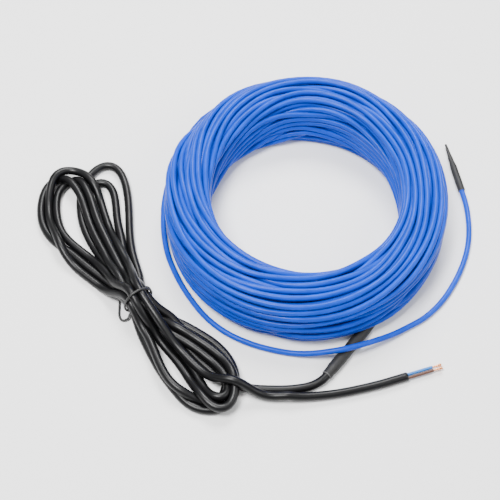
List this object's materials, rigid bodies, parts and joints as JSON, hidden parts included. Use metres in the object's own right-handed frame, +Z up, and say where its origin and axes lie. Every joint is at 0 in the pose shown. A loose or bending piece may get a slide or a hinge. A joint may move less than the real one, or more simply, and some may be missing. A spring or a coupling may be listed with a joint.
{
  "type": "pipe heating cable",
  "caption": "Round coil of blue pipe heating cable with a loose sealed end, a splice sleeve and a tied hank of black cold lead with a stripped end.",
  "frame": {"origin": "on the floor, under the middle of the whole part's box", "axes": "+Z up along the coil's axis, +X to the right along the layout's long side, +Y to the back, away from the stripped end"},
  "size_m": [0.4326, 0.3518, 0.058],
  "materials": {
    "blue_sheath": "semi-gloss extruded plastic",
    "black_sheath": "satin extruded plastic",
    "heat_shrink": "matt shrunk tubing",
    "tie_coating": "satin plastic coating on wire",
    "core_blue_insulation": "semi-gloss",
    "core_brown_insulation": "semi-gloss",
    "copper": "bare bright copper strands"
  },
  "bodies": {
    "root": {"heating_cable_coil": "blue_sheath", "heating_cable_tail": "blue_sheath", "end_seal": "heat_shrink", "splice_sleeve": "heat_shrink", "cold_lead_run_in": "black_sheath", "cold_lead_hank": "black_sheath", "cold_lead_run_out": "black_sheath", "twist_tie": "tie_coating", "core_blue": "core_blue_insulation", "core_blue_strands": "copper", "core_brown": "core_brown_insulation", "core_brown_strands": "copper"}
  },
  "joints": []
}
